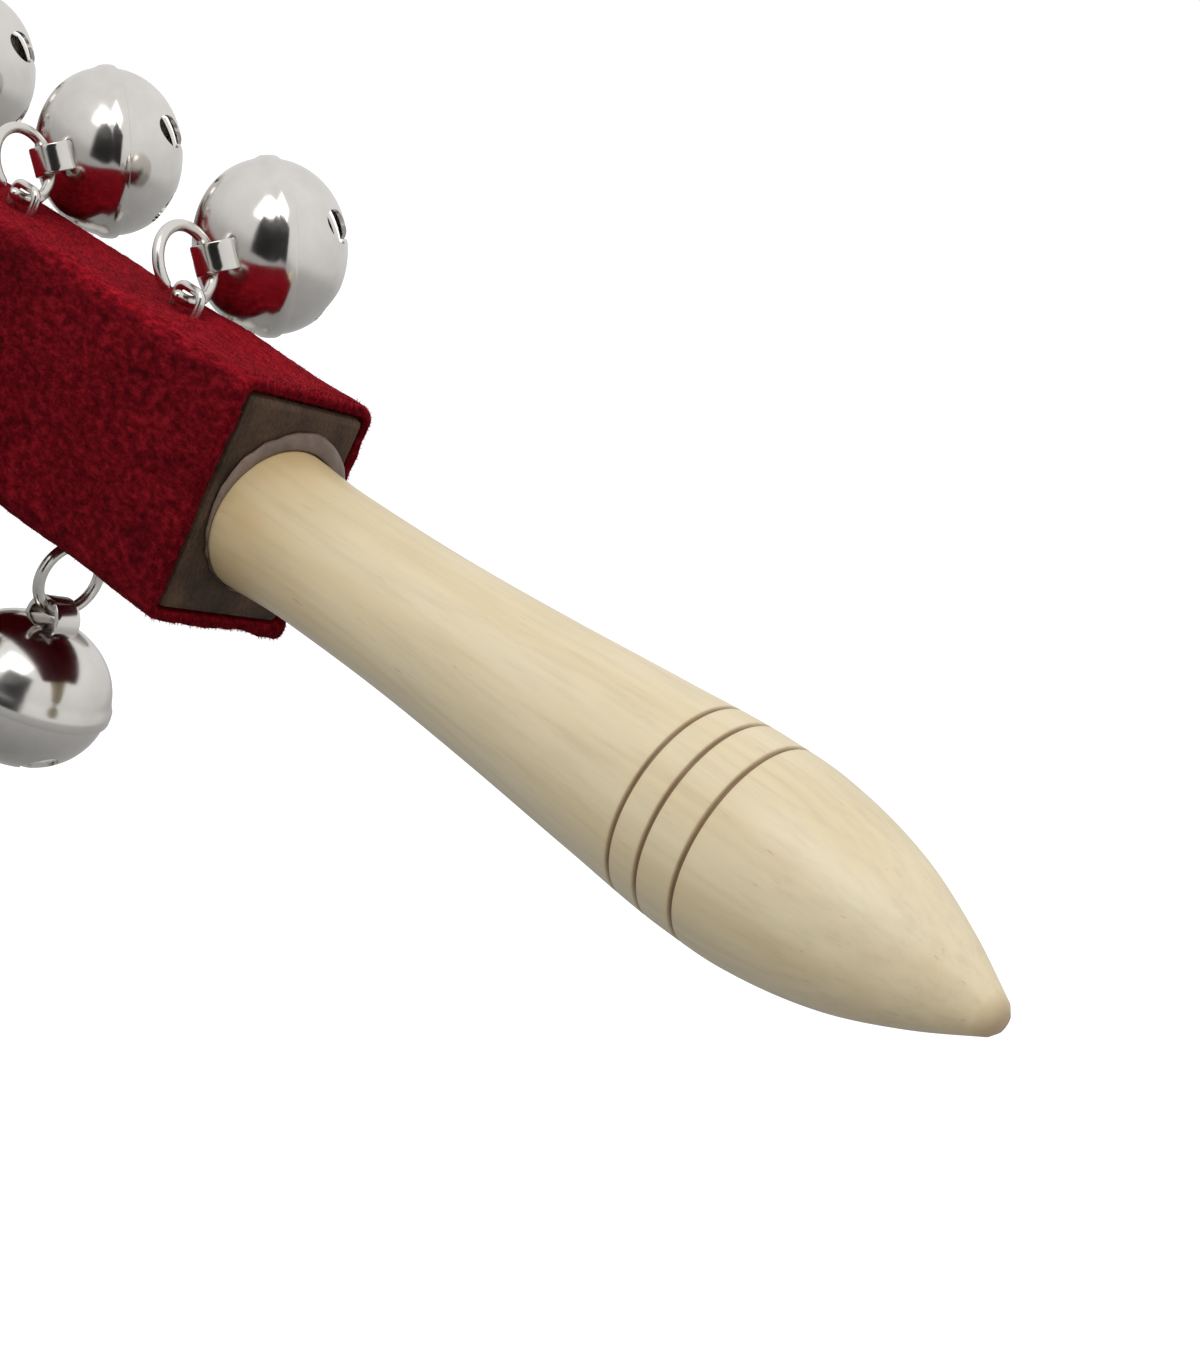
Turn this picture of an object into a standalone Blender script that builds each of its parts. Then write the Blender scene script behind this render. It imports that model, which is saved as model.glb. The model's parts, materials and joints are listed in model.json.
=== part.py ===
"""Hand-held jingle bell stick: a turned wooden handle glued into a square wooden block, the
block wrapped in red velvet, and eleven jingle bells that hang on rings held by staples.

Blender 4.5, metres, +Z up. The stick lies along X with the handle towards +X, and the world
origin is the middle of the hand grip. All sizes below are in millimetres times MM.
"""
import bpy
import bmesh
from math import asin, cos, pi, radians, sin, sqrt
from mathutils import Matrix, Vector

for old in list(bpy.data.objects):
    bpy.data.objects.remove(old)

MM = 0.001
GAP = 0.3 * MM                    # between pieces that touch on the real object

# Handle: a turned grip with a spigot that is glued into the block.
HANDLE_LENGTH = 120 * MM          # from the block's end face to the tip
NECK_RADIUS = 10.25 * MM
WAIST_RADIUS = 9.6 * MM
SWELL_RADIUS = 12.85 * MM
TIP_RADIUS = 1.75 * MM
SPIGOT_RADIUS = 7 * MM
SPIGOT_DEPTH = 30 * MM
GROOVE_PLACES = (74.6 * MM, 79.0 * MM, 84.4 * MM)     # from the block's end face
GROOVE_WIDTH = 1.0 * MM
GROOVE_DEPTH = 0.5 * MM
GRIP_PLACE = 50 * MM              # middle of the hand, from the block's end face
HANDLE_OFFSET = (0.96 * MM, -0.58 * MM)    # the handle is glued a little off the block's centre

# Block and its velvet cover.
BLOCK_LENGTH = 124 * MM
BLOCK_WIDTH = 22 * MM
BLOCK_HEIGHT = 30.3 * MM
BLOCK_EDGE = 1.0 * MM
COVER_THICKNESS = 2.0 * MM        # from the block's face to the pile
COVER_EDGE = 3.0 * MM
GLUE_WIDTH = 2.4 * MM             # how far the glue bead spreads from the neck
GLUE_HEIGHT = 1.6 * MM
GLUE_MIN_WALL = 0.6 * MM

# Bells. The wire ring runs through the staple and through the strap on the bell.
BELL_RADIUS = 12.3 * MM           # without the crimped rim
BELL_HALF_HEIGHT = 10.75 * MM
RIM_WIDTH = 0.45 * MM              # how far the crimped rim stands out
RIM_THICKNESS = 0.6 * MM
SHEET = 0.5 * MM
SLOT_WIDTH = 2.0 * MM
SLOT_HOLE_RADIUS = 2.35 * MM
SLOT_HOLE_PLACE = 8.4 * MM        # from the bell's axis
STRAP_INNER_RADIUS = 3.1 * MM
STRAP_SHEET = 0.9 * MM
STRAP_WIDTH = 4.2 * MM
PELLET_RADIUS = 2.75 * MM
RING_RADIUS = 5.175 * MM          # to the middle of the wire
RING_WIRE = 0.825 * MM            # radius
RING_OPENING = 0.8 * MM
RING_OPENING_ANGLE = radians(118)  # from the strap side, round the ring's far side
RING_SEAT = 1.3 * MM              # wire's middle above the pile, under the staple
STAPLE_WIRE = 0.65 * MM           # radius
STAPLE_SPREAD = 5.0 * MM          # between the middles of the legs
STAPLE_DEPTH = 6.5 * MM           # of a leg below the pile
STAPLE_CORNER = 1.3 * MM

FIRST_STAPLE = 28 * MM            # from the block's handle end
LAST_STAPLE = 20 * MM             # from the block's far end
TOP_TILT = radians(33)            # of the top rings towards the far end
BELL_CLEARANCE = 0.7 * MM         # between a top bell and the cover's edge that it leans on
TOP_SHELL_TURN = (radians(34), radians(13), radians(-16))    # top shells' turn against their straps

SHELL_STEPS = 16                  # facets round a bell
HANDLE_STEPS = 28

HALF_WIDTH = BLOCK_WIDTH / 2 + COVER_THICKNESS
HALF_HEIGHT = BLOCK_HEIGHT / 2 + COVER_THICKNESS
FAR_END = BLOCK_LENGTH + COVER_THICKNESS
RIM_RADIUS = BELL_RADIUS + RIM_WIDTH
STAPLE_PITCH = (BLOCK_LENGTH - FIRST_STAPLE - LAST_STAPLE) / 2
CROWN_HEIGHT = RING_SEAT + RING_WIRE + STAPLE_WIRE + GAP

# The ring curves away inside the strap, so its seat leaves room for that at the strap's edges.
STRAP_HALF_ANGLE = asin(STRAP_WIDTH / 2 / RING_RADIUS)
RING_SAG = RING_RADIUS * (1 - cos(STRAP_HALF_ANGLE))
STRAP_SEAT = STRAP_INNER_RADIUS - RING_SAG - RING_WIRE / cos(STRAP_HALF_ANGLE) - GAP


def shell_turn(towards_side, towards_along, about_axis):
    """A turn of the shells about the bell's centre, against the strap."""
    return (Matrix.Rotation(towards_side, 4, "Y") @ Matrix.Rotation(-towards_along, 4, "X")
            @ Matrix.Rotation(about_axis, 4, "Z"))


def strap_place(turned):
    """How far from the bell's centre the strap meets the outer wall."""
    axis = turned.to_3x3().col[2]
    return 1 / sqrt((1 - axis.z**2) / BELL_RADIUS**2 + axis.z**2 / BELL_HALF_HEIGHT**2)


STRAIGHT = Matrix()
ASKEW = shell_turn(*TOP_SHELL_TURN)
BELL_REACH = RING_RADIUS + STRAP_SEAT + strap_place(STRAIGHT)     # ring's centre to bell's centre
TOP_REACH = RING_RADIUS + STRAP_SEAT + strap_place(ASKEW)


def collection(name):
    """A new collection in the scene."""
    made = bpy.data.collections.new(name)
    bpy.context.scene.collection.children.link(made)
    return made


STICK = collection("jingle_bell_stick")
CUTTERS = collection("cutters")


def material(name, color, roughness, metallic=0.0):
    """A plain Principled material."""
    made = bpy.data.materials.new(name)
    made.use_nodes = True
    shader = made.node_tree.nodes["Principled BSDF"]
    shader.inputs["Base Color"].default_value = (*color, 1)
    shader.inputs["Roughness"].default_value = roughness
    shader.inputs["Metallic"].default_value = metallic
    return made


WOOD = material("maple", (0.72, 0.60, 0.42), 0.4)
DARK_WOOD = material("block_wood", (0.10, 0.065, 0.045), 0.7)
VELVET = material("red_velvet", (0.33, 0.012, 0.028), 0.95)
GLUE = material("dried_glue", (0.18, 0.13, 0.10), 0.45)
NICKEL = material("polished_nickel", (0.75, 0.74, 0.72), 0.12, 1.0)
STEEL = material("steel", (0.5, 0.5, 0.5), 0.4, 1.0)


def add(name, data, look=None, parent=None, matrix=None, group=STICK):
    """An object from mesh, curve or no data, placed in its parent's space."""
    made = bpy.data.objects.new(name, data)
    group.objects.link(made)
    if look:
        data.materials.append(look)
    made.parent = parent
    if matrix:
        made.matrix_local = matrix
    return made


def turned_mesh(name, profile):
    """The wire that a Screw modifier turns about Z: (radius, height) points."""
    mesh = bpy.data.meshes.new(name)
    edges = [(i, i + 1) for i in range(len(profile) - 1)]
    mesh.from_pydata([(radius, 0, height) for radius, height in profile], edges, [])
    return mesh


def turn(item, steps):
    """Turn an object's profile into a closed solid."""
    screw = item.modifiers.new("turn", "SCREW")
    screw.steps = screw.render_steps = steps
    screw.use_merge_vertices = True
    screw.merge_threshold = 0.00001
    screw.use_smooth_shade = True


def boolean(item, other, operation="DIFFERENCE"):
    """Cut or join one object with another, which stays in the cutters' collection."""
    step = item.modifiers.new(other.name, "BOOLEAN")
    step.object = other
    step.operation = operation
    other.hide_render = True
    other.display_type = "WIRE"


def solid(name, build, parent=None, matrix=None, group=CUTTERS):
    """An object whose mesh is one bmesh primitive, made by build(bm)."""
    bm = bmesh.new()
    build(bm)
    mesh = bpy.data.meshes.new(name)
    bm.to_mesh(mesh)
    bm.free()
    return add(name, mesh, None, parent, matrix, group)


def box(low, high):
    """A builder of a box between two corners."""
    size = [b - a for a, b in zip(low, high)]
    middle = [(a + b) / 2 for a, b in zip(low, high)]
    place = Matrix.Translation(middle) @ Matrix.Diagonal((*size, 1))
    return lambda bm: bmesh.ops.create_cube(bm, size=1, matrix=place)


def cylinder(radius, length, place, segments=16):
    """A builder of a cylinder whose own Z runs along place's Z, centred on it."""
    return lambda bm: bmesh.ops.create_cone(
        bm, cap_ends=True, segments=segments, radius1=radius, radius2=radius, depth=length, matrix=place)


def baked(item, name):
    """An object's evaluated mesh, for the pieces that repeat; the object is removed."""
    mesh = bpy.data.meshes.new_from_object(item.evaluated_get(bpy.context.evaluated_depsgraph_get()))
    mesh.name = name
    bpy.data.objects.remove(item)
    return mesh


def arc(center, radius, start, end, steps):
    """Points on an arc in a plane, start and end included, angles in radians."""
    angles = [start + (end - start) * i / steps for i in range(steps + 1)]
    return [(center[0] + radius * cos(a), center[1] + radius * sin(a)) for a in angles]


HANDLE_AXIS = Matrix.Translation((0, *HANDLE_OFFSET))
root = add("stick_frame", None, matrix=HANDLE_AXIS.inverted() @ Matrix.Translation((-GRIP_PLACE, 0, 0)))
ALONG_X = Matrix.Rotation(radians(90), 4, "Y")       # turns a profile's Z to the stick's +X


# Handle

def handle_radius(place):
    """The grip's radius at a distance from the block: a smooth curve through its stations."""
    stations = ((0.0, NECK_RADIUS), (0.10, WAIST_RADIUS), (0.25, WAIST_RADIUS + 0.2 * MM),
                (0.40, WAIST_RADIUS + 0.34 * (SWELL_RADIUS - WAIST_RADIUS)),
                (0.55, WAIST_RADIUS + 0.72 * (SWELL_RADIUS - WAIST_RADIUS)),
                (0.68, SWELL_RADIUS), (0.75, 0.98 * SWELL_RADIUS), (0.85, 0.795 * SWELL_RADIUS),
                (0.93, 0.49 * SWELL_RADIUS), (1.0, TIP_RADIUS))
    share = place / HANDLE_LENGTH
    i = max(k for k in range(len(stations) - 1) if stations[k][0] <= share + 1e-9)
    slopes = [(stations[k + 1][1] - stations[k][1]) / (stations[k + 1][0] - stations[k][0])
              for k in range(len(stations) - 1)]
    ends = [slopes[0]] + [(a + b) / 2 if a * b > 0 else 0 for a, b in zip(slopes, slopes[1:])] + [slopes[-1]]
    width = stations[i + 1][0] - stations[i][0]
    t = (share - stations[i][0]) / width
    return ((2 * t**3 - 3 * t**2 + 1) * stations[i][1] + (t**3 - 2 * t**2 + t) * width * ends[i]
            + (3 * t**2 - 2 * t**3) * stations[i + 1][1] + (t**3 - t**2) * width * ends[i + 1])


def handle_profile():
    """From the tip back to the neck with its grooves, then the spigot inside the block."""
    stations = 26
    places = [GAP + (HANDLE_LENGTH - GAP) * i / stations for i in range(stations + 1)]
    places = [x for x in places if all(abs(x - groove) > GROOVE_WIDTH for groove in GROOVE_PLACES)]
    outline = [(x, handle_radius(x)) for x in places]
    for groove in GROOVE_PLACES:
        outline += [(groove - GROOVE_WIDTH / 2, handle_radius(groove - GROOVE_WIDTH / 2)),
                    (groove, handle_radius(groove) - GROOVE_DEPTH),
                    (groove + GROOVE_WIDTH / 2, handle_radius(groove + GROOVE_WIDTH / 2))]
    outline.sort(reverse=True)
    tip = [(0, HANDLE_LENGTH)]
    spigot = [(SPIGOT_RADIUS, GAP), (SPIGOT_RADIUS, -SPIGOT_DEPTH), (0, -SPIGOT_DEPTH)]
    return tip + [(radius, x) for x, radius in outline] + spigot


handle = add("handle", turned_mesh("handle", handle_profile()), WOOD, root, HANDLE_AXIS @ ALONG_X)
turn(handle, HANDLE_STEPS)


# Bell sites: where each staple sits, and how its ring and bell rest

X_AXIS = Vector((1, 0, 0))
Y_AXIS = Vector((0, 1, 0))
Z_AXIS = Vector((0, 0, 1))


def resting_lean():
    """The angle from the face's normal at which a bell on an upright ring touches the face."""
    height = RIM_RADIUS + GAP - RING_SEAT - RING_RADIUS
    return radians(90) - asin(height / BELL_REACH)


def edge_clearance(tilt, lean):
    """The gap between a leaning top bell and the cover's top, with its rounded edge."""
    upright = Matrix.Rotation(-tilt, 3, "Y")
    hanging = upright @ Matrix.Rotation(-lean, 3, "X")
    axis = (hanging @ ASKEW.to_3x3()).col[2]
    middle = Z_AXIS * RING_SEAT + upright.col[2] * RING_RADIUS + hanging.col[2] * TOP_REACH
    bend = Vector((middle.x, min(middle.y, HALF_WIDTH - COVER_EDGE), -COVER_EDGE))
    away = middle - bend
    share = away.normalized().dot(axis)
    reach = sqrt(BELL_RADIUS**2 * (1 - share**2) + BELL_HALF_HEIGHT**2 * share**2)
    return away.length - COVER_EDGE - max(reach, RIM_RADIUS * sqrt(1 - share**2))


def leaning_angle(tilt):
    """How far a top bell leans back before it comes to rest, to the nearest degree."""
    degrees = 0
    while degrees < 90 and edge_clearance(tilt, radians(degrees + 1)) > BELL_CLEARANCE:
        degrees += 1
    return radians(degrees)


SIDE_LEAN = resting_lean()
TOP_LEAN = leaning_angle(TOP_TILT)
TOP_ROW = [-(FIRST_STAPLE + STAPLE_PITCH * i) for i in range(3)]
SIDE_ROW = [x - STAPLE_PITCH / 2 for x in TOP_ROW[:2]]

# Each site: name, place on the pile, outward normal, staple's direction, ring's tilt, bell's lean.
SITES = [(f"top_{i + 1}", Vector((x, 0, HALF_HEIGHT)), Z_AXIS, X_AXIS, TOP_TILT, TOP_LEAN)
         for i, x in enumerate(TOP_ROW)]
SITES += [(f"bottom_{i + 1}", Vector((x, 0, -HALF_HEIGHT)), -Z_AXIS, X_AXIS, 0, 0)
          for i, x in enumerate(TOP_ROW)]
SITES += [(f"back_{i + 1}", Vector((x, HALF_WIDTH, 0)), Y_AXIS, X_AXIS, 0, SIDE_LEAN)
          for i, x in enumerate(SIDE_ROW)]
SITES += [(f"front_{i + 1}", Vector((x, -HALF_WIDTH, 0)), -Y_AXIS, -X_AXIS, 0, SIDE_LEAN)
          for i, x in enumerate(SIDE_ROW)]
SITES.append(("end", Vector((-FAR_END, 0, 0)), -X_AXIS, Y_AXIS, 0, SIDE_LEAN))


def site_frame(place, normal, along):
    """A frame on the pile: X along the staple, Z out of the face."""
    return Matrix.Translation(place) @ Matrix((along, normal.cross(along), normal)).transposed().to_4x4()


# Block and cover, with pockets for the spigot and the staples' legs

def leg_cutters(name):
    """One closed prism round every staple leg, as one cutter."""
    bm = bmesh.new()
    for _, place, normal, along, _, _ in SITES:
        for side in (-1, 1):
            leg = site_frame(place, normal, along) @ Matrix.Translation(
                (side * STAPLE_SPREAD / 2, 0, -STAPLE_DEPTH / 2))
            cylinder(STAPLE_WIRE + GAP, STAPLE_DEPTH + 2 * GAP, leg, 8)(bm)
    mesh = bpy.data.meshes.new(name)
    bm.to_mesh(mesh)
    bm.free()
    return add(name, mesh, None, root, None, CUTTERS)


def rounded(item, width, segments):
    """Round the edges of a box."""
    step = item.modifiers.new("rounding", "BEVEL")
    step.width = width
    step.segments = segments
    step.limit_method = "ANGLE"


legs = leg_cutters("staple_leg_holes")
half_block = Vector((0, BLOCK_WIDTH / 2, BLOCK_HEIGHT / 2))
block = solid("block", box(-half_block - X_AXIS * BLOCK_LENGTH, half_block), root, None, STICK)
block.data.materials.append(DARK_WOOD)
rounded(block, BLOCK_EDGE, 2)
bore_depth = SPIGOT_DEPTH + GAP
bore_place = HANDLE_AXIS @ Matrix.Translation((-bore_depth / 2 + GAP, 0, 0)) @ ALONG_X
bore = solid("spigot_bore", cylinder(SPIGOT_RADIUS + GAP, bore_depth + 2 * GAP, bore_place, 24), root)
boolean(block, bore)
boolean(block, legs)

half_inside = Vector((0, BLOCK_WIDTH / 2 + GAP, BLOCK_HEIGHT / 2 + GAP))
spare = 2 * COVER_EDGE            # extra length at the handle end, trimmed off to a square edge
cover = solid("cover", box((-FAR_END, -HALF_WIDTH, -HALF_HEIGHT), (spare, HALF_WIDTH, HALF_HEIGHT)),
              root, None, STICK)
cover.data.materials.append(VELVET)
rounded(cover, COVER_EDGE, 4)
trim = solid("cover_trim", box((0, -FAR_END, -FAR_END), (2 * spare, FAR_END, FAR_END)), root)
inside = solid("cover_inside", box(-half_inside - X_AXIS * (BLOCK_LENGTH + GAP),
                                   half_inside + X_AXIS * spare), root)
boolean(cover, trim)
boolean(cover, inside)
boolean(cover, legs)


# Glue bead round the neck, no wider than the block's end

bead_inner = NECK_RADIUS + GAP
bead_outer = bead_inner + GLUE_WIDTH
bead_profile = [(bead_inner, GAP), (bead_inner, GAP + GLUE_HEIGHT),
                (bead_inner + 0.35 * GLUE_WIDTH, GAP + 0.75 * GLUE_HEIGHT),
                (bead_inner + 0.75 * GLUE_WIDTH, GAP + 0.4 * GLUE_HEIGHT),
                (bead_outer, GAP + 0.2 * GLUE_HEIGHT), (bead_outer, GAP), (bead_inner, GAP)]
bead = add("glue_bead", turned_mesh("glue_bead", bead_profile), GLUE, root, HANDLE_AXIS @ ALONG_X)
turn(bead, HANDLE_STEPS)
bead_limit = max(BLOCK_WIDTH / 2, bead_inner + GLUE_MIN_WALL + abs(HANDLE_OFFSET[0]))
keep = solid("glue_limit", box((-bead_outer, -bead_limit, -2 * bead_outer),
                               (bead_outer, bead_limit, 2 * bead_outer)), root)
boolean(bead, keep, "INTERSECT")


# Bell pieces that repeat. Each is made in the bell's own frame: the origin is the bell's centre,
# the strap is on -Z, and the ring passes through it along Y. The shells' own axis points to the
# slotted end; it lies on +Z, or is turned away from it where the strap sits beside the pole.

def bowl(radius, half_height, start=0.0):
    """Points of a quarter section from the rim (angle 0) to the pole."""
    steps = 5
    angles = [start + (pi / 2 - start) * i / steps for i in range(steps + 1)]
    points = [(radius * cos(a), half_height * sin(a)) for a in angles]
    points[-1] = (0, half_height)
    return points


rim_low = GAP / 2
rim_high = rim_low + RIM_THICKNESS
wall_start = asin(rim_high / BELL_HALF_HEIGHT)
outer_wall = bowl(BELL_RADIUS, BELL_HALF_HEIGHT, wall_start)
inner_wall = bowl(BELL_RADIUS - SHEET, BELL_HALF_HEIGHT - SHEET, rim_low / BELL_HALF_HEIGHT)


def half_shell(name, outline):
    """A turned half of the bell, ready for its cuts."""
    item = add(name, turned_mesh(name, outline), group=CUTTERS)
    turn(item, SHELL_STEPS)
    return item


def lower_shell_mesh(turned):
    """The half with the crossed sound slots and their round ends."""
    outline = outer_wall[::-1] + [(RIM_RADIUS, rim_high), (RIM_RADIUS, rim_low)] + inner_wall
    item = half_shell("lower_shell_pattern", outline)
    top = BELL_HALF_HEIGHT + 1 * MM
    tools = []
    for turn_angle in (0, 90):
        spin = Matrix.Rotation(radians(turn_angle), 4, "Z")
        bar = solid(f"slot_{turn_angle}", box((-SLOT_HOLE_PLACE, -SLOT_WIDTH / 2, rim_high),
                                              (SLOT_HOLE_PLACE, SLOT_WIDTH / 2, top)), None, spin)
        tools.append(bar)
        for side in (-1, 1):
            place = spin @ Matrix.Translation((side * SLOT_HOLE_PLACE, 0, (rim_high + top) / 2))
            tools.append(solid(f"slot_end_{turn_angle}_{side}",
                               cylinder(SLOT_HOLE_RADIUS, top - rim_high, place, 12)))
    for tool in tools:
        boolean(item, tool)
    mesh = baked(item, "lower_shell")
    mesh.transform(turned)
    for tool in tools:
        bpy.data.objects.remove(tool)
    return mesh


def upper_shell_mesh(turned):
    """The half with the strap that the ring runs through."""
    down = [(radius, -height) for radius, height in outer_wall]
    dome = half_shell("upper_shell_pattern", [(0, -rim_low), (RIM_RADIUS, -rim_low),
                                              (RIM_RADIUS, -rim_high)] + down)
    foot = turned.inverted() @ Matrix.Translation((0, 0, -strap_place(turned)))
    across = foot @ Matrix.Rotation(radians(90), 4, "X")
    strap_radius = STRAP_INNER_RADIUS + STRAP_SHEET
    strap = solid("strap", cylinder(strap_radius, STRAP_WIDTH, across))
    eye = solid("strap_eye", cylinder(STRAP_INNER_RADIUS, 2 * STRAP_WIDTH, across))
    boolean(strap, eye)
    mouth = [(0, 0), (inner_wall[0][0], 0)]
    cavity = half_shell("cavity", mouth + [(radius, -height) for radius, height in inner_wall])
    boolean(dome, strap, "UNION")
    boolean(dome, cavity)
    mesh = baked(dome, "upper_shell")
    mesh.transform(turned)
    for tool in (strap, eye, cavity):
        bpy.data.objects.remove(tool)
    return mesh


def wire(name, points, radius, parent):
    """A round wire through points, as a curve with filled ends."""
    curve = bpy.data.curves.new(name, "CURVE")
    curve.dimensions = "3D"
    curve.bevel_depth = radius
    curve.bevel_resolution = 1
    curve.use_fill_caps = True
    spline = curve.splines.new("POLY")
    spline.points.add(len(points) - 1)
    for knot, point in zip(spline.points, points):
        knot.co = (*point, 1)
    return add(name, curve, NICKEL, parent, Matrix())


def staple_points():
    """The staple's middle line: leg, two rounded corners, leg; X along the crown."""
    half = STAPLE_SPREAD / 2
    left = arc((-half + STAPLE_CORNER, CROWN_HEIGHT - STAPLE_CORNER), STAPLE_CORNER, pi, pi / 2, 3)
    right = [(-x, z) for x, z in reversed(left)]
    path = [(-half, -STAPLE_DEPTH)] + left + right + [(half, -STAPLE_DEPTH)]
    return [(x, 0, z) for x, z in path]


def ring_points():
    """The ring's middle line about its centre, in its own YZ plane, open at one place."""
    half_gap = asin(RING_OPENING / 2 / RING_RADIUS)
    start = pi / 2 + RING_OPENING_ANGLE + half_gap
    path = arc((0, 0), RING_RADIUS, start, start + 2 * (pi - half_gap), 15)
    return [(0, y, z) for y, z in path]


def resting_place(down):
    """How far the pellet's centre lies from the bell's centre when it rests on the shell."""
    side = BELL_RADIUS - SHEET - GAP - PELLET_RADIUS
    end = BELL_HALF_HEIGHT - SHEET - GAP - PELLET_RADIUS
    return 1 / sqrt((down.x**2 + down.y**2) / side**2 + down.z**2 / end**2)


STRAIGHT_SHELLS = (upper_shell_mesh(STRAIGHT), lower_shell_mesh(STRAIGHT))
ASKEW_SHELLS = (upper_shell_mesh(ASKEW), lower_shell_mesh(ASKEW))


def hang_bell(name, place, normal, along, tilt, lean):
    """A staple, its ring, and the bell on the ring: two shell halves and a loose pellet."""
    on_pile = site_frame(place, normal, along)
    site = add(f"{name}_site", None, parent=root, matrix=on_pile)
    wire(f"{name}_staple", staple_points(), STAPLE_WIRE, site)
    seat = Matrix.Translation((0, 0, RING_SEAT)) @ Matrix.Rotation(-tilt, 4, "Y")
    in_ring = seat @ Matrix.Translation((0, 0, RING_RADIUS))
    ring_center = add(f"{name}_ring_center", None, parent=site, matrix=in_ring)
    wire(f"{name}_ring", ring_points(), RING_WIRE, ring_center)
    turned, (upper, lower) = (ASKEW, ASKEW_SHELLS) if tilt else (STRAIGHT, STRAIGHT_SHELLS)
    distance = RING_RADIUS + STRAP_SEAT + strap_place(turned)
    reach = Matrix.Rotation(-lean, 4, "X") @ Matrix.Translation((0, 0, distance))
    bell = add(f"{name}_bell", None, parent=ring_center, matrix=reach)
    add(f"{name}_upper_shell", upper.copy(), NICKEL, bell, Matrix())
    add(f"{name}_lower_shell", lower.copy(), NICKEL, bell, Matrix())
    down = (on_pile @ in_ring @ reach @ turned).to_3x3().inverted() @ -Z_AXIS
    ball = solid(f"{name}_pellet",
                 lambda bm: bmesh.ops.create_uvsphere(bm, u_segments=10, v_segments=6, radius=PELLET_RADIUS),
                 bell, turned @ Matrix.Translation(down * resting_place(down)), STICK)
    ball.data.materials.append(STEEL)


for site_values in SITES:
    hang_bell(*site_values)
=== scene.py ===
"""The looks of a jingle bell stick: a pale turned handle glued into a block that is wrapped in
red velvet, with eleven nickel-plated jingle bells on wire rings. The sections follow the order in
which the stick is put together. Lengths are in metres, and mm is a millimetre.
"""
import json
import random
from math import cos, exp, hypot, pi, radians, sin, sqrt

import bmesh
import bpy
from mathutils import Matrix, Vector, noise


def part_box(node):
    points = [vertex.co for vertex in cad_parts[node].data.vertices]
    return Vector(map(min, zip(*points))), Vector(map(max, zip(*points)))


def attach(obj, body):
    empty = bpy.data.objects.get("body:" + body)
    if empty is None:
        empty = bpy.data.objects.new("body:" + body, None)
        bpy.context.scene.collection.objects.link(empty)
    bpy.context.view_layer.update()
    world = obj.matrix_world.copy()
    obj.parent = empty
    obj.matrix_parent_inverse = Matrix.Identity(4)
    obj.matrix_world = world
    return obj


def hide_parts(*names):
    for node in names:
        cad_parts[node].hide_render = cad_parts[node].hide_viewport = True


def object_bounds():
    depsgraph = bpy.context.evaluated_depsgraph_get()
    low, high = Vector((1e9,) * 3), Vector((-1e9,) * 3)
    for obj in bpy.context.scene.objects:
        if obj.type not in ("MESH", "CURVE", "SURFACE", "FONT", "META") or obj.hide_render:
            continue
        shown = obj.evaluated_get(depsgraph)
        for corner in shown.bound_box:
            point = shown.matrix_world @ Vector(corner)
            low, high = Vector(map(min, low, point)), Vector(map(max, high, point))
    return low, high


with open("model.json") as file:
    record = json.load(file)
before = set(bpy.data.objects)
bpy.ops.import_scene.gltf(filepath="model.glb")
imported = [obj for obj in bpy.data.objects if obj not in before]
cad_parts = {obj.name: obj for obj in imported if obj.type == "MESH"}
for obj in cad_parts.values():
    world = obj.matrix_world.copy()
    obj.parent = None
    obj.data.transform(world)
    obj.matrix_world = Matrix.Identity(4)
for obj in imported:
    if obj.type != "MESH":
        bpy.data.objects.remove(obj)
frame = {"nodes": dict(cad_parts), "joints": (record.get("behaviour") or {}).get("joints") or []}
cad_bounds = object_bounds()
mm = 0.001


# Handle. The real one is turned from a pale close-grained wood, sanded and thinly lacquered,
# with three narrow grooves burnt into its swell. A spigot holds it in the block.
handle_low, handle_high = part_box("handle")
block_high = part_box("block")[1]
neck_place = block_high[0] + 0.3 * mm
tip_place = handle_high[0]
handle_length = tip_place - block_high[0]
swell_radius = (handle_high[2] - handle_low[2]) / 2
neck_radius = 10.25 * mm
waist_radius = 9.6 * mm
tip_radius = 1.75 * mm
spigot_radius = 7 * mm
groove_places = [block_high[0] + reach * mm for reach in (74.6, 79.0, 84.4)]
groove_half_width = 0.40 * mm
groove_depth = 0.5 * mm


def handle_radius(place):
    """The lacquered surface's radius at a place along the handle."""
    rise = swell_radius - waist_radius
    stations = ((0.0, neck_radius), (0.10, waist_radius), (0.25, waist_radius + 0.2 * mm),
                (0.40, waist_radius + 0.34 * rise), (0.55, waist_radius + 0.72 * rise),
                (0.68, swell_radius), (0.75, 0.98 * swell_radius), (0.85, 0.795 * swell_radius),
                (0.93, 0.49 * swell_radius), (1.0, tip_radius))
    share = (place - block_high[0]) / handle_length
    i = max(k for k in range(len(stations) - 1) if stations[k][0] <= share + 1e-9)
    slopes = [(b[1] - a[1]) / (b[0] - a[0]) for a, b in zip(stations, stations[1:])]
    middle = [(a + b) / 2 if a * b > 0 else 0 for a, b in zip(slopes, slopes[1:])]
    ends = [slopes[0]] + middle + [slopes[-1]]
    width = stations[i + 1][0] - stations[i][0]
    t = (share - stations[i][0]) / width
    return ((2 * t**3 - 3 * t**2 + 1) * stations[i][1] + (t**3 - 2 * t**2 + t) * width * ends[i]
            + (3 * t**2 - 2 * t**3) * stations[i + 1][1] + (t**3 - t**2) * width * ends[i + 1])


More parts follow.
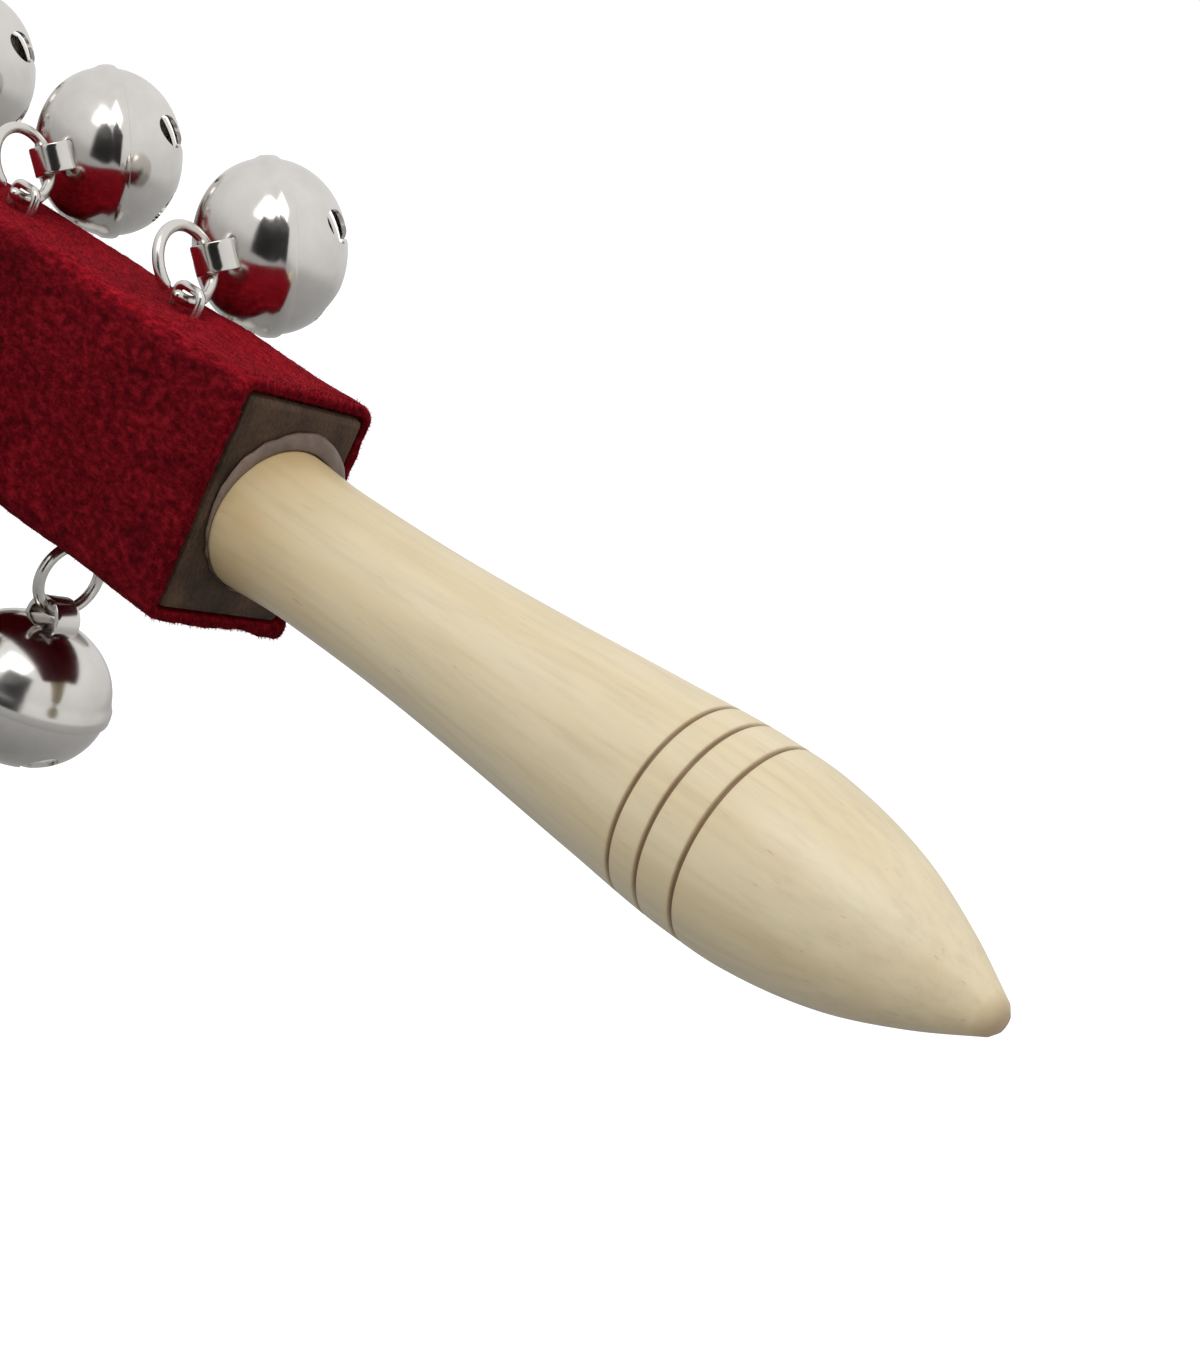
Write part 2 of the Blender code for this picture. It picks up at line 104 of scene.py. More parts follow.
def new_piece(name, bm, body, slot, look, *nodes):
    """Finish a bmesh as a smooth piece that rides on a body and stands for CAD nodes."""
    mesh = bpy.data.meshes.new(name)
    bm.to_mesh(mesh)
    bm.free()
    mesh.shade_smooth()
    piece = bpy.data.objects.new(name, mesh)
    bpy.context.scene.collection.objects.link(piece)
    mesh.materials.append(look)
    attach(piece, body)
    if nodes:
        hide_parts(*nodes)
    return piece


def spun(outline, axis, steps):
    """A bmesh turned from (along, out) points about an axis through the origin."""
    bm = bmesh.new()
    side = axis.orthogonal().normalized()
    ring = [bm.verts.new(axis * along + side * out) for along, out in outline]
    edges = [bm.edges.new(pair) for pair in zip(ring, ring[1:])]
    bmesh.ops.spin(bm, geom=ring + edges, axis=axis, cent=(0, 0, 0), angle=2 * pi, steps=steps,
                   use_merge=True)
    bmesh.ops.remove_doubles(bm, verts=bm.verts, dist=1e-7)
    bmesh.ops.recalc_face_normals(bm, faces=bm.faces)
    return bm


def new_look(name, color, roughness, metallic=0.0):
    """A material, its node tree and its shader node."""
    look = bpy.data.materials.new(name)
    look.use_nodes = True
    shader = look.node_tree.nodes["Principled BSDF"]
    shader.inputs["Base Color"].default_value = (*color, 1)
    shader.inputs["Roughness"].default_value = roughness
    shader.inputs["Metallic"].default_value = metallic
    return look, look.node_tree, shader


def node(tree, kind, **settings):
    """A shader node with settings; a setting named as an input sets that input."""
    made = tree.nodes.new(kind)
    for key, value in settings.items():
        name = key.replace("_", " ")
        if name in made.inputs:
            made.inputs[name].default_value = value
        else:
            setattr(made, key, value)
    return made


def placed(tree, scale, place=(0, 0, 0)):
    """Object coordinates scaled along each axis, per metre."""
    coordinates = node(tree, "ShaderNodeTexCoord")
    mapping = node(tree, "ShaderNodeMapping", Scale=scale, Location=place)
    tree.links.new(coordinates.outputs["Object"], mapping.inputs["Vector"])
    return mapping.outputs["Vector"]


def grain(tree, scale, detail=4, roughness=0.55, place=(0, 0, 0)):
    """Noise with its own scale along each axis, per metre."""
    made = node(tree, "ShaderNodeTexNoise", Scale=1.0, Detail=detail, Roughness=roughness)
    tree.links.new(placed(tree, scale, place), made.inputs["Vector"])
    return made.outputs["Factor"] if "Factor" in made.outputs else made.outputs["Fac"]


def ramp(tree, source, *stops):
    """A colour ramp from (position, value or colour) stops."""
    made = node(tree, "ShaderNodeValToRGB")
    while len(made.color_ramp.elements) < len(stops):
        made.color_ramp.elements.new(0.5)
    for element, (position, value) in zip(made.color_ramp.elements, stops):
        element.position = position
        element.color = (*value, 1) if hasattr(value, "__len__") else (value, value, value, 1)
    tree.links.new(source, made.inputs["Fac"])
    return made.outputs["Color"]


def mixed(tree, factor, first, second, blend="MIX"):
    """Two colours mixed by a factor; each is a socket or a plain value."""
    made = node(tree, "ShaderNodeMix", data_type="RGBA", blend_type=blend)
    for place, value in ((0, factor), (6, first), (7, second)):
        if isinstance(value, bpy.types.NodeSocket):
            tree.links.new(value, made.inputs[place])
        else:
            made.inputs[place].default_value = (*value, 1) if hasattr(value, "__len__") else value
    return made.outputs[2]


def math(tree, operation, first, second=0.0, third=0.0):
    """One step of arithmetic on sockets or numbers."""
    made = node(tree, "ShaderNodeMath", operation=operation)
    for place, value in enumerate((first, second, third)):
        if isinstance(value, bpy.types.NodeSocket):
            tree.links.new(value, made.inputs[place])
        else:
            made.inputs[place].default_value = value
    return made.outputs[0]


def bump(tree, shader, height, distance, strength=1.0):
    """Relief from a height socket, with its depth in metres."""
    made = node(tree, "ShaderNodeBump", Distance=distance, Strength=strength)
    tree.links.new(height, made.inputs["Height"])
    tree.links.new(made.outputs["Normal"], shader.inputs["Normal"])


def along_x(tree):
    """The place along the stick, in metres."""
    coordinates = node(tree, "ShaderNodeTexCoord")
    split = node(tree, "ShaderNodeSeparateXYZ")
    tree.links.new(coordinates.outputs["Object"], split.inputs[0])
    return split.outputs["X"]


def near(tree, place, wanted, spread):
    """1 at a wanted place along the stick, falling to 0 a spread away."""
    away = math(tree, "ABSOLUTE", math(tree, "SUBTRACT", place, wanted))
    return math(tree, "SUBTRACT", 1.0, math(tree, "DIVIDE", away, spread))


def turned_wood():
    """Pale lacquered wood: fine long grain, flecks, cloudy tints, burnt grooves, brown tip."""
    look, tree, shader = new_look("pale_turned_wood", (0.79, 0.69, 0.49), 0.42)
    shader.inputs["Coat Weight"].default_value = 0.22
    shader.inputs["Coat Roughness"].default_value = 0.32
    shader.inputs["Subsurface Weight"].default_value = 0.04
    shader.inputs["Subsurface Radius"].default_value = (0.003, 0.0018, 0.001)
    cloud = grain(tree, (14, 30, 30), 3, 0.5)
    color = ramp(tree, cloud, (0.30, (0.58, 0.475, 0.285)), (0.50, (0.665, 0.565, 0.37)),
                 (0.72, (0.71, 0.63, 0.45)))
    fibre = grain(tree, (45, 900, 900), 5, 0.62)
    fibre_tint = ramp(tree, fibre, (0.28, 0.90), (0.5, 1.0), (0.72, 1.045))
    color = mixed(tree, 1.0, color, fibre_tint, "MULTIPLY")
    band = grain(tree, (9, 150, 150), 2, 0.5, (3, 1, 2))
    band_tint = ramp(tree, band, (0.38, (0.93, 0.885, 0.80)), (0.60, (1, 1, 1)))
    color = mixed(tree, 0.8, color, band_tint, "MULTIPLY")
    fleck = grain(tree, (170, 1500, 1500), 2, 0.5, (7, 3, 1))
    fleck_mask = ramp(tree, fleck, (0.70, 0.0), (0.78, 1.0))
    color = mixed(tree, math(tree, "MULTIPLY", fleck_mask, 0.55), color, (0.50, 0.34, 0.19))
    blush = grain(tree, (38, 70, 70), 3, 0.55, (1, 8, 5))
    place = along_x(tree)
    at_neck = math(tree, "MAXIMUM", near(tree, place, neck_place, 22 * mm), 0.0)
    at_tip = math(tree, "MAXIMUM", near(tree, place, tip_place, 17 * mm), 0.0)
    stained = math(tree, "MULTIPLY_ADD", at_neck, 0.85, at_tip)
    stain = math(tree, "MULTIPLY", stained, ramp(tree, blush, (0.36, 0.10), (0.66, 0.95)))
    color = mixed(tree, stain, color, (0.46, 0.30, 0.125))
    very_tip = math(tree, "MAXIMUM", near(tree, place, tip_place, 2.2 * mm), 0.0)
    color = mixed(tree, math(tree, "MULTIPLY", very_tip, 0.8), color, (0.36, 0.24, 0.13))
    scorch_noise = grain(tree, (260, 110, 110), 4, 0.65, (2, 2, 9))
    wander = math(tree, "MULTIPLY_ADD", scorch_noise, 0.9, 0.30)
    scorch = 0.0
    for groove in groove_places:
        line = near(tree, place, groove, 1.05 * groove_half_width)
        burnt = math(tree, "MULTIPLY", math(tree, "MULTIPLY", line, 1.9), wander)
        scorch = math(tree, "MAXIMUM", burnt, scorch)
    color = mixed(tree, math(tree, "MINIMUM", scorch, 0.92), color, (0.085, 0.035, 0.012))
    halo = 0.0
    for groove in groove_places:
        halo = math(tree, "MAXIMUM", near(tree, place, groove, 2.4 * groove_half_width), halo)
    color = mixed(tree, math(tree, "MULTIPLY", halo, 0.22), color, (0.55, 0.36, 0.16))
    tree.links.new(color, shader.inputs["Base Color"])
    tree.links.new(ramp(tree, cloud, (0.3, 0.46), (0.7, 0.36)), shader.inputs["Roughness"])
    raised_fibre = math(tree, "MULTIPLY", fibre, 0.5)
    relief = math(tree, "MULTIPLY_ADD", fleck_mask, -0.8, raised_fibre)
    bump(tree, shader, relief, 0.05 * mm, 0.6)
    return look


def handle_outline():
    """From the tip's middle to the neck, then the spigot, with dense points at the grooves."""
    steps = 150
    places = [neck_place + (tip_place - neck_place) * i / steps for i in range(steps + 1)]
    for groove in groove_places:
        places = [x for x in places if abs(x - groove) > 1.3 * groove_half_width]
        places += [groove + groove_half_width * i / 4 for i in range(-5, 6)]
    outline = [(tip_place, 0), (tip_place, 0.7 * tip_radius)]
    for x in sorted(places, reverse=True)[1:]:
        away = min(abs(x - groove) for groove in groove_places)
        cut_share = max(0, 1 - (away / groove_half_width) ** 2)
        outline.append((x, handle_radius(x) - groove_depth * cut_share))
    return outline + [(neck_place, spigot_radius), (handle_low[0], spigot_radius), (handle_low[0], 0)]


wood_look = turned_wood()
handle_mesh = spun(handle_outline(), Vector((1, 0, 0)), 144)
new_piece("turned_handle", handle_mesh, "stick", "maple", wood_look, "handle")


# Glue. Dried wood glue squeezed out round the neck when the handle was pushed in: a thick,
# greyish-brown, slightly see-through bead of uneven width.
bead_low, bead_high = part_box("glue_bead")
bead_inner = neck_radius + 0.1 * mm
bead_outer = (bead_high[2] - bead_low[2]) / 2
bead_width = bead_outer - bead_inner
bead_height = 1.5 * mm
bead_reach = max(-bead_low[1], bead_high[1])
bead_base = bead_low[0]


def dried_glue():
    """Cloudy brown glue with a soft skin shine."""
    look, tree, shader = new_look("dried_glue", (0.13, 0.095, 0.075), 0.38)
    shader.inputs["Specular IOR Level"].default_value = 0.35
    shader.inputs["Subsurface Weight"].default_value = 0.25
    shader.inputs["Subsurface Radius"].default_value = (0.002, 0.0015, 0.001)
    shader.inputs["Coat Weight"].default_value = 0.08
    shader.inputs["Coat Roughness"].default_value = 0.3
    cloud = grain(tree, (90, 130, 130), 4, 0.6)
    color = ramp(tree, cloud, (0.3, (0.095, 0.064, 0.047)), (0.52, (0.165, 0.115, 0.088)),
                 (0.72, (0.24, 0.175, 0.14)))
    tree.links.new(color, shader.inputs["Base Color"])
    bump(tree, shader, cloud, 0.25 * mm, 0.5)
    return look


bead_outline = [(bead_base, bead_inner), (bead_base, bead_outer)]
for step in range(1, 13):
    turn = step / 12 * pi / 2
    bead_outline.append((bead_base + bead_height * sin(turn) ** 0.8,
                         bead_outer - bead_width * (1 - cos(turn)) ** 0.9))
bead_mesh = spun(bead_outline + [(bead_base, bead_inner)], Vector((1, 0, 0)), 160)
for point in bead_mesh.verts:
    out = hypot(point.co.y, point.co.z)
    around = Vector((0, point.co.y / out, point.co.z / out))
    swell = noise.noise(around * 1.9 + Vector((4.1, 0, 0))) * 0.22 + noise.noise(around * 5.3) * 0.14
    thick = max(0.0, 0.5 + 0.5 * around.dot(Vector((0, 0.60, 0.80)))) ** 1.3
    share = (out - bead_inner) / bead_width
    point.co.x = bead_base + (point.co.x - bead_base) * (0.25 + 0.6 * thick + 0.3 * swell)
    out += share * bead_width * min(0.0, 0.9 * thick - 0.92 + swell)
    point.co.y, point.co.z = around.y * out, around.z * out
    point.co.y = max(-bead_reach, min(bead_reach, point.co.y))
new_piece("squeezed_out_glue", bead_mesh, "stick", "dried_glue", dried_glue(), "glue_bead")


# Block. A square stick of raw brown wood. Only its end round the handle shows, stained dark
# by glue; it keeps its CAD shape and gets the finish of sawn end grain.
def dark_end_grain():
    """Raw brown wood with dull blotches and short pores."""
    look, tree, shader = new_look("dark_end_grain", (0.05, 0.035, 0.026), 0.68)
    shader.inputs["Specular IOR Level"].default_value = 0.22
    blotch = grain(tree, (60, 110, 85), 5, 0.6)
    color = ramp(tree, blotch, (0.30, (0.024, 0.0145, 0.010)), (0.50, (0.064, 0.037, 0.023)),
                 (0.68, (0.108, 0.060, 0.032)))
    pore = grain(tree, (900, 2600, 1300), 2, 0.5)
    color = mixed(tree, 1.0, color, ramp(tree, pore, (0.35, 0.72), (0.6, 1.08)), "MULTIPLY")
    tree.links.new(color, shader.inputs["Base Color"])
    bump(tree, shader, pore, 0.1 * mm, 0.5)
    return look


block_look = dark_end_grain()
for block_slot in frame["nodes"]["block"].material_slots:
    block_slot.material = block_look


# Cover. A strip of crimson velvet is pulled round the block and glued, with its lap at a lower
# corner; at the far end it is folded over, and at the handle end it is cut off flush. Staples
# pull the pile down where they go through it.
cover_low, cover_high = (Vector(corner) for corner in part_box("cover"))
cover_middle = (cover_low + cover_high) / 2
half_width = (cover_high.y - cover_low.y) / 2
half_height = (cover_high.z - cover_low.z) / 2
cover_length = cover_high.x - cover_low.x
velvet_thickness = 1.6 * mm
cut_edge_radius = velvet_thickness / 2
end_fold = 3 * mm
section_points = 168
staple_joints = [joint for joint in frame["joints"] if joint["name"].endswith("_ring_swivel")]


def rounded_corner(middle, radius, start):
    """Points on a quarter turn, from a start angle in degrees."""
    turns = [radians(start + 15 * i) for i in range(7)]
    return [(middle[0] + radius * cos(turn), middle[1] + radius * sin(turn)) for turn in turns]


def evenly(points, count):
    """Points spaced evenly round a closed outline."""
    closed = points + points[:1]
    lengths = [hypot(b[0] - a[0], b[1] - a[1]) for a, b in zip(closed, closed[1:])]
    step = sum(lengths) / count
    result = []
    i = 0
    gone = 0.0
    for k in range(count):
        while gone + lengths[i] < k * step - 1e-12:
            gone += lengths[i]
            i += 1
        t = (k * step - gone) / lengths[i]
        result.append(tuple(a + (b - a) * t for a, b in zip(closed[i], closed[i + 1])))
    return result


def velvet_section(inset):
    """The cover's outer outline, its lap standing out at the lower back corner."""
    w, h = half_width - inset, half_height - inset
    lap = max(0.0, 1 - inset / (1.5 * mm))
    bend = max(0.4 * mm, 3.0 * mm - inset)
    lip = 1.1 * mm
    lower_back = [(w - 3.6 * mm, -h - 0.35 * mm * lap)]
    lip_middle = (w - 0.25 * mm, -h - 0.45 * mm * lap + lip)
    lower_back += [(lip_middle[0] + lip * cos(radians(a)), lip_middle[1] + lip * sin(radians(a)))
                   for a in range(-90, 121, 15)]
    lower_back += [(w - 1.25 * mm * lap, -h + 2.4 * mm), (w - 0.9 * mm * lap, -h + 3.3 * mm),
                   (w, -h + 5.5 * mm)]
    outline = [(0, -h)] + lower_back
    outline += rounded_corner((w - bend, h - bend), bend, 0)
    outline += rounded_corner((-w + bend, h - bend), bend, 90)
    outline += rounded_corner((-w + bend, -h + bend), bend, 180)
    return evenly(outline, section_points)


def inner_section(inset):
    """The velvet's inner outline, round the block."""
    w, h, bend = half_width - inset, half_height - inset, 1.2 * mm
    outline = [(0, -h)] + rounded_corner((w - bend, -h + bend), bend, -90)
    outline += rounded_corner((w - bend, h - bend), bend, 0)
    outline += rounded_corner((-w + bend, h - bend), bend, 90)
    outline += rounded_corner((-w + bend, -h + bend), bend, 180)
    return evenly(outline, section_points)


def velvet_rows():
    """Rows from the middle of the inside, out over the cut edge, back to the far end's middle."""
    inner = inner_section(velvet_thickness)
    rows = []
    for share in (0.03, 0.3, 0.6, 0.85, 1.0):
        rows.append((cover_low.x + velvet_thickness, [(y * share, z * share) for y, z in inner]))
    for place in (0.25, 0.5, 0.75, 0.93):
        rows.append((cover_low.x + velvet_thickness + place * (cover_length - velvet_thickness), inner))
    outer = velvet_section(0)
    for step in range(7):
        turn = pi * step / 6
        share = (1 - cos(turn)) / 2
        place = cover_high.x - cut_edge_radius + cut_edge_radius * sin(turn)
        rows.append((place, [(a[0] + (b[0] - a[0]) * share, a[1] + (b[1] - a[1]) * share)
                             for a, b in zip(inner, outer)]))
    count = 150
    even_length = cover_length - end_fold - cut_edge_radius
    for step in range(1, count + 1):
        rows.append((cover_high.x - cut_edge_radius - even_length * step / count, outer))
    for step in range(1, 9):
        turn = pi / 2 * step / 8
        place = cover_low.x + end_fold * (1 - sin(turn))
        rows.append((place, velvet_section(end_fold * (1 - cos(turn)))))
    last = velvet_section(end_fold)
    rows += [(cover_low.x, [(y * share, z * share) for y, z in last])
             for share in (0.93, 0.86, 0.79, 0.72, 0.65, 0.58, 0.51, 0.44, 0.37, 0.30, 0.22, 0.14, 0.06)]
    return rows


def pile_height(point):
    """How far the pile stands from its even surface at a point."""
    wrinkle = noise.noise(Vector((point.x * 60, point.y * 110, point.z * 110))) * 0.45 * mm
    nap = noise.fractal(point * 800, 0.9, 2.1, 3) * 0.10 * mm
    height = wrinkle + nap
    for joint in staple_joints:
        away = (point - Vector(joint["pos_m"])).length
        if away < 9 * mm:
            height -= 0.55 * mm * exp(-(away / (3.2 * mm)) ** 2)
    ragged = exp(-((cover_high.x - point.x) / (1.2 * mm)) ** 2)
    return height + ragged * noise.noise(point * 420 + Vector((9, 0, 0))) * 0.35 * mm


def velvet_mesh():
    """A closed sleeve of numbered points, extruded row by row, then roughened like pile."""
    bm = bmesh.new()
    number = bm.verts.layers.int.new("number")
    rows = velvet_rows()
    loop = [bm.verts.new((rows[0][0], y, z)) for y, z in rows[0][1]]
    for i, vert in enumerate(loop):
        vert[number] = i
    edges = [bm.edges.new((loop[i], loop[(i + 1) % section_points])) for i in range(section_points)]
    first_cap = bm.faces.new(loop)
    for x, section in rows[1:]:
        made = bmesh.ops.extrude_edge_only(bm, edges=edges)["geom"]
        edges = [item for item in made if isinstance(item, bmesh.types.BMEdge)]
        for vert in (item for item in made if isinstance(item, bmesh.types.BMVert)):
            vert.co = (x, *section[vert[number] % section_points])
            vert[number] += section_points
    bmesh.ops.contextual_create(bm, geom=edges)
    bmesh.ops.triangulate(bm, faces=[first_cap])
    bmesh.ops.translate(bm, verts=bm.verts, vec=(0, cover_middle.y, cover_middle.z))
    bmesh.ops.recalc_face_normals(bm, faces=bm.faces)
    bm.normal_update()
    skin = 1.2 * mm
    moves = []
    for vert in bm.verts:
        on_side = abs(vert.co.y - cover_middle.y) > half_width - skin
        on_top = abs(vert.co.z - cover_middle.z) > half_height - skin
        on_end = vert.co.x < cover_low.x + velvet_thickness / 2
        if on_side or on_top or on_end:
            moves.append((vert, vert.normal * pile_height(vert.co)))
    for vert, move in moves:
        vert.co += move
    return bm


def velvet_color(tree):
    """Crimson with fine darker brushed patches, and a painted highlight that makes the upward-facing
    pile brighter and redder.
    """
    patch = grain(tree, (560, 1500, 900), 6, 0.74)
    cloud = grain(tree, (60, 110, 110), 4, 0.65, (5, 2, 7))
    color = ramp(tree, patch, (0.36, (0.045, 0.0014, 0.0032)), (0.50, (0.110, 0.0026, 0.0058)),
                 (0.64, (0.200, 0.0070, 0.0130)))
    tint = ramp(tree, cloud, (0.32, 0.74), (0.66, 1.12))
    color = mixed(tree, 1.0, color, tint, "MULTIPLY")
    coordinates = node(tree, "ShaderNodeTexCoord")
    split = node(tree, "ShaderNodeSeparateXYZ")
    tree.links.new(coordinates.outputs["Normal"], split.inputs[0])
    # Painted highlight: faces whose normal points up get up to nearly twice the red, standing in for
    # light falling on the top face.
    painted_top_light = ramp(tree, split.outputs["Z"], (0.25, 1.0), (0.95, (1.9, 1.5, 1.6)))
    return mixed(tree, 1.0, color, painted_top_light, "MULTIPLY"), patch


def red_velvet():
    """Short crimson pile: matt, finely mottled, with a pinkish sheen at grazing angles."""
    look, tree, shader = new_look("red_velvet", (0.12, 0.003, 0.007), 0.95)
    color, patch = velvet_color(tree)
    tree.links.new(color, shader.inputs["Base Color"])
    shader.inputs["Specular IOR Level"].default_value = 0.03
    shader.inputs["Sheen Weight"].default_value = 0.10
    shader.inputs["Sheen Roughness"].default_value = 0.35
    shader.inputs["Sheen Tint"].default_value = (0.95, 0.06, 0.10, 1)
    hair = grain(tree, (2600, 2600, 2600), 2, 0.6)
    relief = math(tree, "MULTIPLY_ADD", hair, 0.45, math(tree, "MULTIPLY", patch, 0.6))
    bump(tree, shader, relief, 0.35 * mm, 0.9)
    return look


def weights(count):
    """Random shares that add up to one."""
    shares = [random.random() + 0.05 for _ in range(count)]
    return [share / sum(shares) for share in shares]


def loose_pile(count, seed):
    """Short single hairs that stand out of the velvet, as thin blades.

    Faces and corners are taken by the numbers of their points, because the order in which an
    extruded mesh lists them changes from run to run.
    """
    random.seed(seed)
    bm = bmesh.new()
    verts = velvet_piece.data.vertices
    numbers = [item.value for item in velvet_piece.data.attributes["number"].data]
    faces = sorted(velvet_piece.data.polygons,
                   key=lambda face: sorted(numbers[i] for i in face.vertices))
    skin = 1.1 * mm
    rim_reach = 2.4 * mm
    buried = 0.05 * mm
    rim = [face for face in faces if face.center.x > cover_high.x - rim_reach]
    outer = [face for face in faces if abs(face.center.y - cover_middle.y) > half_width - skin
             or abs(face.center.z - cover_middle.z) > half_height - skin]
    for k in range(count):
        face = random.choice(rim if k % 5 == 0 else outer)
        corners = sorted(face.vertices, key=lambda i: numbers[i])
        shares = weights(len(corners))
        root = sum((verts[i].co * share for i, share in zip(corners, shares)), Vector())
        lean = Vector([random.uniform(-0.6, 0.6) for _ in range(3)])
        way = (face.normal + lean).normalized()
        length = random.uniform(0.25, 0.75) * mm
        side = way.orthogonal().normalized() * 0.03 * mm
        tip = root + way * length + Vector([random.uniform(-0.08, 0.08) * mm for _ in range(3)])
        blade = [root - side - way * buried, root + side - way * buried, tip]
        bm.faces.new([bm.verts.new(corner) for corner in blade])
    return bm


velvet_look = red_velvet()
velvet_piece = new_piece("velvet_cover", velvet_mesh(), "stick", "red_velvet", velvet_look, "cover")
hair_count = 16000
pile_mesh = loose_pile(hair_count, 7)
pile_piece = new_piece("velvet_loose_pile", pile_mesh, "stick", "red_velvet", velvet_look)


# Staples. Bent from stiff plated wire; their legs go through the velvet into the block, and
# each crown holds one ring down on the pile.
staple_wire = 0.65 * mm
ring_wire = 0.825 * mm
half_spread = 2.5 * mm
crown_height = 3.075 * mm
leg_depth = 6.4 * mm


def bright_nickel(name, roughness, waviness):
    """Polished nickel plate over pressed or drawn metal, faintly wavy, with a few dull smears."""
    look, tree, shader = new_look(name, (0.66, 0.635, 0.60), roughness, 1.0)
    smear = grain(tree, (120, 120, 120), 4, 0.6)
    tree.links.new(ramp(tree, smear, (0.3, (0.60, 0.575, 0.54)), (0.7, (0.70, 0.675, 0.64))),
                   shader.inputs["Base Color"])
    tree.links.new(ramp(tree, smear, (0.35, roughness * 0.75), (0.75, roughness * 1.7)),
                   shader.inputs["Roughness"])
    fine = grain(tree, (700, 700, 700), 3, 0.6)
    wave = grain(tree, (160, 160, 160), 2, 0.5, (3, 3, 3))
    relief = math(tree, "ADD", math(tree, "MULTIPLY", fine, 0.12), wave)
    bump(tree, shader, relief, waviness, 1.0)
    return look


def wire_mesh(name, points, radius):
    """A round wire along points, with rounded ends, as a mesh."""
    curve = bpy.data.curves.new(name, "CURVE")
    curve.dimensions = "3D"
    curve.bevel_depth = radius
    curve.bevel_resolution = 8
    curve.use_fill_caps = True
    spline = curve.splines.new("POLY")
    spline.points.add(len(points) - 1)
    reach = [0.0]
    for a, b in zip(points, points[1:]):
        reach.append(reach[-1] + (b - a).length)
    for knot, point, gone in zip(spline.points, points, reach):
        knot.co = (*point, 1)
        left = min(gone, reach[-1] - gone)
        knot.radius = sqrt(max(0.02, 1 - max(0.0, 1 - left / radius) ** 2))
    holder = bpy.data.objects.new(name, curve)
    bpy.context.scene.collection.objects.link(holder)
    mesh = bpy.data.meshes.new_from_object(holder.evaluated_get(bpy.context.evaluated_depsgraph_get()))
    bpy.data.objects.remove(holder)
    bm = bmesh.new()
    bm.from_mesh(mesh)
    bmesh.ops.remove_doubles(bm, verts=bm.verts, dist=1e-7)
    bmesh.ops.recalc_face_normals(bm, faces=bm.faces)
    bpy.data.meshes.remove(mesh)
    return bm


def staple_path(middle, normal, along):
    """The middle line of one staple: leg, bend, crown, bend, leg."""
    bend = 1.25 * mm
    flat = [(-half_spread, -leg_depth + 0.4 * mm * i) for i in range(3)] + [(-half_spread, 0)]
    flat += [(-half_spread + bend - bend * cos(radians(a)),
              crown_height - bend + bend * sin(radians(a))) for a in range(0, 91, 9)]
    path = flat + [(-x, z) for x, z in reversed(flat)]
    return [middle + along * x + normal * z for x, z in path]


wire_look = bright_nickel("nickel_wire", 0.17, 0.012 * mm)
swings = {joint["name"]: joint for joint in frame["joints"]}
sites = [joint["name"].removesuffix("_ring_swivel") for joint in staple_joints]
for site in sites:
    swivel = swings[site + "_ring_swivel"]
    seat, normal = Vector(swivel["pos_m"]), Vector(swivel["axis"])
    ring_axis = Vector(swings[site + "_bell_swing"]["axis"])
    along = (ring_axis - normal * ring_axis.dot(normal)).normalized()
    staple = wire_mesh(site, staple_path(seat, normal, along), staple_wire)
    new_piece(site + "_bent_staple", staple, "stick", "polished_nickel", wire_look, site + "_staple")


# Rings. Each is one turn of plated wire, closed by hand, so its ends meet a little askew beside
# the staple.
ring_radius = 5.175 * mm
ring_seat = 1.3 * mm
opening_angle = radians(236)
opening_half = radians(3.2)


def ring_path(center, across, outward, side):
    """The ring's middle line; its two ends stand a little to either side."""
    count = 96
    path = []
    for i in range(count + 1):
        share = i / count
        angle = opening_angle + opening_half + share * 2 * (pi - opening_half)
        skew = 0.42 * mm * ((1 - share) ** 8 - share ** 8)
        swell = 1 + 0.03 * ((1 - share) ** 10)
        spoke = across * cos(angle) + outward * sin(angle)
        path.append(center + spoke * ring_radius * swell + side * skew)
    return path


for site in sites:
    swivel, swing = swings[site + "_ring_swivel"], swings[site + "_bell_swing"]
    center, side = Vector(swing["pos_m"]), Vector(swing["axis"])
    seat = Vector(swivel["pos_m"]) + Vector(swivel["axis"]) * ring_seat
    outward = (center - seat).normalized()
    across = outward.cross(side).normalized()
    ring = wire_mesh(site, ring_path(center, across, outward, side), ring_wire)
    new_piece(site + "_wire_ring", ring, site + "_link", "polished_nickel", wire_look, site + "_ring")


# Bells. Two halves pressed from thin nickel-plated sheet are crimped together at the middle. The
# upper one carries a bent strap for the ring, the lower one has crossed sound slots that end in
# round holes. On the top row the halves stand askew to their straps.
bell_radius = 12.3 * mm
bell_half_height = 10.75 * mm
crimp_radius = 12.75 * mm
sheet_thickness = 0.5 * mm
slot_half_width = 1.0 * mm
slot_hole_radius = 2.35 * mm
slot_hole_place = 8.4 * mm
strap_radius = 3.5 * mm
strap_half_width = 2.1 * mm
shell_steps = 112
askew = (Matrix.Rotation(radians(34), 4, "Y") @ Matrix.Rotation(radians(-13), 4, "X")
         @ Matrix.Rotation(radians(-16), 4, "Z"))
shell_turns = {"straight": Matrix(), "askew": askew}


def pressed_wall(radius, half_height, start, steps, sign):
    """Points (along the bell's axis, out from it) of a pressed wall, from near the rim to its pole."""
    wall = []
    for i in range(steps + 1):
        angle = start + (pi / 2 - start) * i / steps
        out = radius * cos(angle) ** 0.94 if i < steps else 0
        wall.append((sign * half_height * sin(angle) ** 0.97, out))
    return wall


